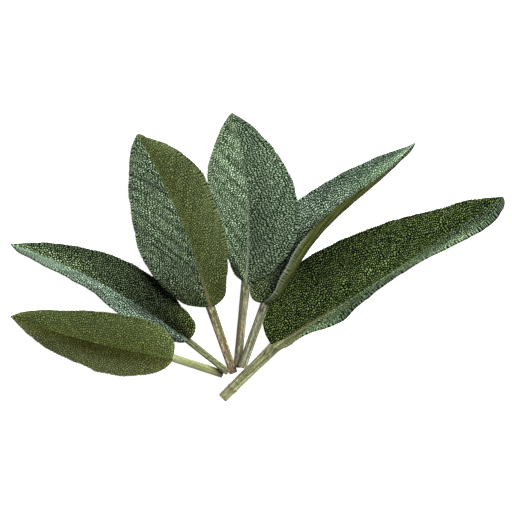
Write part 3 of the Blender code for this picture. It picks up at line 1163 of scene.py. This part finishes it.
def stalk_section(leaf, number, looks, radius, past, fold, angle):
    """How far across and up the points of each ring stand from the line, and the groove."""
    from_cut = (past - past[0])[:, None]
    groove = bell(angle, math.pi / 2, GROOVE_WIDTH) * smooth(-past, -1.0, 2.0)[:, None]
    ribs = np.cos(7 * angle + 0.05 * from_cut + number) + 0.6 * np.cos(12 * angle - 0.08 * from_cut)
    size = radius[:, None] + looks.rib_height / MM * (ribs * 0.5 - 0.6)
    size = size - GROOVE_DEPTH * radius[:, None] * groove
    size = size + leaf.ring * bell(from_cut, RING_PLACE, RING_WIDTH)
    size = size + leaf.foot * bell(past[:, None], FOOT_PLACE, FOOT_WIDTH)
    across, rise = size * np.cos(angle), size * np.sin(angle)
    # Near the blade the top of the stalk climbs into it, and then it is the blade's keel.
    keel = fold + KEEL_REACH
    near = smooth(past, -4.0, 0.0)
    top = np.where(past > 0, keel - KEEL_DROP * smooth(past, 1.0, 5.0), near * keel + (1 - near) * radius)
    return across, np.where(rise > 0, rise * (top / radius)[:, None], rise), groove


def stalk_surface(leaf, number, looks):
    """Rings of points round the stalk from its cut end, and the pattern at each of them."""
    line, radius, past, fold = stalk_line(leaf, looks.step / MM)
    angle = -math.pi / 2 + 2 * math.pi * (np.arange(looks.sides) + 0.5) / looks.sides
    across, rise, groove = stalk_section(leaf, number, looks, radius, past, fold, angle[None, :])
    ahead, leftward, up = directions(line)
    points = line[:, None] + across[:, :, None] * leftward[:, None] + rise[:, :, None] * up[:, None]
    points[:, :, 2] = np.maximum(points[:, :, 2], 0.0)

    # The cut end is a shallow rounded edge and a flat face in to its middle.
    first = points[:1]
    centre = first.mean(axis=1, keepdims=True)
    back = ahead[0] * CUT_BULGE
    cap = [centre + (first - centre) * share - back * slide for share, slide in CUT_FACE]
    rings = np.concatenate((*cap, points))
    rings[:, :, 2] = np.maximum(rings[:, :, 2], 0.0)
    poles = np.stack((centre[0, 0] - back, points[-1].mean(axis=0) + ahead[-1] * 0.1))

    def with_cap(values):
        """A pattern along the stalk, whose first values the cut face's rings share."""
        return np.concatenate((values[:1].repeat(len(CUT_FACE), axis=0), values))

    past = with_cap(past)
    from_cut = past - past[0]
    face = np.zeros(rings.shape[:2])
    face[: len(CUT_FACE) - 1] = 1.0
    off_face = np.ones(rings.shape[:2])
    off_face[: len(CUT_FACE)] = 0.0
    reach, dark = leaf.bruise
    bruise = bell(from_cut, 0.0, reach) * dark
    if leaf.ring:
        bruise = bruise + STAIN * bell(from_cut, STAIN_PLACE, STAIN_WIDTH)
    grain = (from_cut[:, None] + number * GRAIN_APART, with_cap(across), with_cap(rise))
    pattern = {
        "grain": np.stack(np.broadcast_arrays(*grain), axis=2),
        "groove": with_cap(groove) * off_face,
        "cut": face,
        "bruise": bruise[:, None] * (1 - 0.6 * face),
        "flank": np.abs(np.cos(angle)) ** 4 * off_face,
        "flecked": (leaf.flecked * (1 - smooth(past, -9.0, -1.0)))[:, None] * np.ones(looks.sides),
    # Painted shade on the stalk's left and right sides.
    }
    return rings, poles, pattern


def stalk_map(rings):
    """Where each ring point lies on the flat map, with the first one repeated to close it."""
    columns, around, _ = rings.shape
    x = 0.01 + 0.98 * np.arange(around + 1) / around
    y = 0.01 + 0.98 * np.arange(columns) / (columns - 1)
    return np.stack(np.broadcast_arrays(x[None, :], y[:, None]), axis=2)


def settle(piece, node):
    """Puts a piece on the frame in place of its node, and stops if it has left the node's place."""
    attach(piece, BODY)
    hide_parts(node)
    points = np.empty(len(piece.data.vertices) * 3, np.float32)
    piece.data.vertices.foreach_get("co", points)
    points = points.reshape(-1, 3)
    box = np.array((points.min(axis=0), points.max(axis=0)))
    off = np.abs(box - np.array(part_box(node))).max() / MM
    if off > FREE_PLAY:
        raise ValueError(f"{piece.name} is {off:.2f} mm away from its node")


class SAGE_OT_blades(bpy.types.Operator):
    """Build the six pebbled blades over the frame"""

    bl_idname = "sage.blades"
    bl_label = "Blades"

    def execute(self, context):
        looks = context.scene.sage.blade
        for number, leaf in enumerate(LEAVES, start=1):
            rings, poles, pattern, s, rows = blade_surface(leaf, number, looks)
            blade = closed_piece(f"blade_{number}", rings, poles, pattern, blade_map(s, *rows))
            blade.data.materials.append(blade_finish(number, leaf, looks))
            settle(blade, f"leaf_{number}_blade")
        return {"FINISHED"}


class SAGE_OT_stalks(bpy.types.Operator):
    """Build the six grooved stalks, each with the midrib that it runs on into"""

    bl_idname = "sage.stalks"
    bl_label = "Stalks"

    def execute(self, context):
        looks = context.scene.sage.stalk
        for number, leaf in enumerate(LEAVES, start=1):
            rings, poles, pattern = stalk_surface(leaf, number, looks)
            stalk = closed_piece(f"stalk_{number}", rings, poles, pattern, stalk_map(rings))
            stalk.data.materials.append(stalk_finish(number, leaf, looks))
            settle(stalk, f"leaf_{number}_stalk")
        return {"FINISHED"}


def soft_light(name, place, size, power, colour):
    """A square soft light that shines on the sprig's middle."""
    lamp = bpy.data.lights.new(name, "AREA")
    lamp.shape = "SQUARE"
    lamp.size = size
    lamp.energy = power
    lamp.color = colour
    light = bpy.data.objects.new(name, lamp)
    light.location = place
    light.rotation_euler = (-Vector(place)).to_track_quat("-Z", "Y").to_euler()
    bpy.context.scene.collection.objects.link(light)


def room_light(strength):
    """The even white light from all round."""
    world = bpy.data.worlds.new("room")
    world.use_nodes = True
    background = world.node_tree.nodes["Background"]
    background.inputs["Color"].default_value = (1.0, 1.0, 1.0, 1.0)
    background.inputs["Strength"].default_value = strength
    bpy.context.scene.world = world


def paper_floor(looks):
    """A sheet of pale paper just under the sprig, softly lit from within."""
    glow, gap = 0.9, 0.02
    side = looks.floor_size / 2
    corners = [(x, y, 0.0) for x, y in ((-side, -side), (side, -side), (side, side), (-side, side))]
    mesh = bpy.data.meshes.new("floor")
    mesh.from_pydata(corners, [], [(0, 1, 2, 3)])
    floor = bpy.data.objects.new("floor", mesh)
    floor.location.z = -gap * MM
    bpy.context.scene.collection.objects.link(floor)
    paper = Finish("white paper")
    fibres = paper.noise(paper.in_millimetres(), 0.8, 2.0)
    colour = tuple(looks.floor_colour)
    finish = paper.finish(
        Base_Color=paper.mix(fibres, tinted(colour, (0.99, 0.99, 0.99)), colour),
        Roughness=0.9,
        Emission_Color=(1.0, 1.0, 1.0),
        Emission_Strength=glow,
    )
    mesh.materials.append(finish)


def overhead_camera(looks):
    """The camera, which looks straight down."""
    lens = bpy.data.cameras.new("overhead camera")
    lens.lens = looks.camera_lens
    lens.sensor_width = 36.0
    lens.clip_start = 0.01
    lens.clip_end = 10.0
    camera = bpy.data.objects.new("overhead camera", lens)
    camera.location = (-looks.camera_across, looks.camera_up, looks.camera_height)
    bpy.context.scene.collection.objects.link(camera)
    bpy.context.scene.camera = camera


class SAGE_OT_stage(bpy.types.Operator):
    """Lay the pale floor, hang the soft lights and set the camera overhead"""

    bl_idname = "sage.stage"
    bl_label = "Stage"

    def execute(self, context):
        looks = context.scene.sage.stage
        paper_floor(looks)
        soft_light("key light", (0.5, 0.5, 0.9), 0.6, looks.key_power, (0.97, 0.99, 1.0))
        soft_light("fill light", (-0.6, -0.1, 0.8), 0.7, looks.fill_power, (1.0, 0.97, 0.9))
        room_light(looks.sky)
        overhead_camera(looks)
        context.scene.view_settings.view_transform = "Standard"
        return {"FINISHED"}


class SAGE_PT_sprig(bpy.types.Panel):
    """The sprig's parts, in the order in which they are built"""

    bl_idname = "SAGE_PT_sprig"
    bl_label = "Sage sprig"
    bl_space_type = "VIEW_3D"
    bl_region_type = "UI"
    bl_category = "Sage"

    def draw(self, context):
        settings = context.scene.sage
        for group, operator in (
            (settings.blade, SAGE_OT_blades),
            (settings.stalk, SAGE_OT_stalks),
            (settings.stage, SAGE_OT_stage),
        ):
            box = self.layout.box()
            for name in group.__annotations__:
                box.prop(group, name)
            box.operator(operator.bl_idname)


CLASSES = (
    SageBladeSettings,
    SageStalkSettings,
    SageStageSettings,
    SageSettings,
    SAGE_OT_blades,
    SAGE_OT_stalks,
    SAGE_OT_stage,
    SAGE_PT_sprig,
)


def register():
    for item in CLASSES:
        bpy.utils.register_class(item)
    bpy.types.Scene.sage = PointerProperty(type=SageSettings)


def unregister():
    del bpy.types.Scene.sage
    for item in reversed(CLASSES):
        bpy.utils.unregister_class(item)


def main():
    register()
    bpy.ops.sage.blades()
    bpy.ops.sage.stalks()
    bpy.ops.sage.stage()
    bpy.context.view_layer.update()


if __name__ == "__main__":
    main()
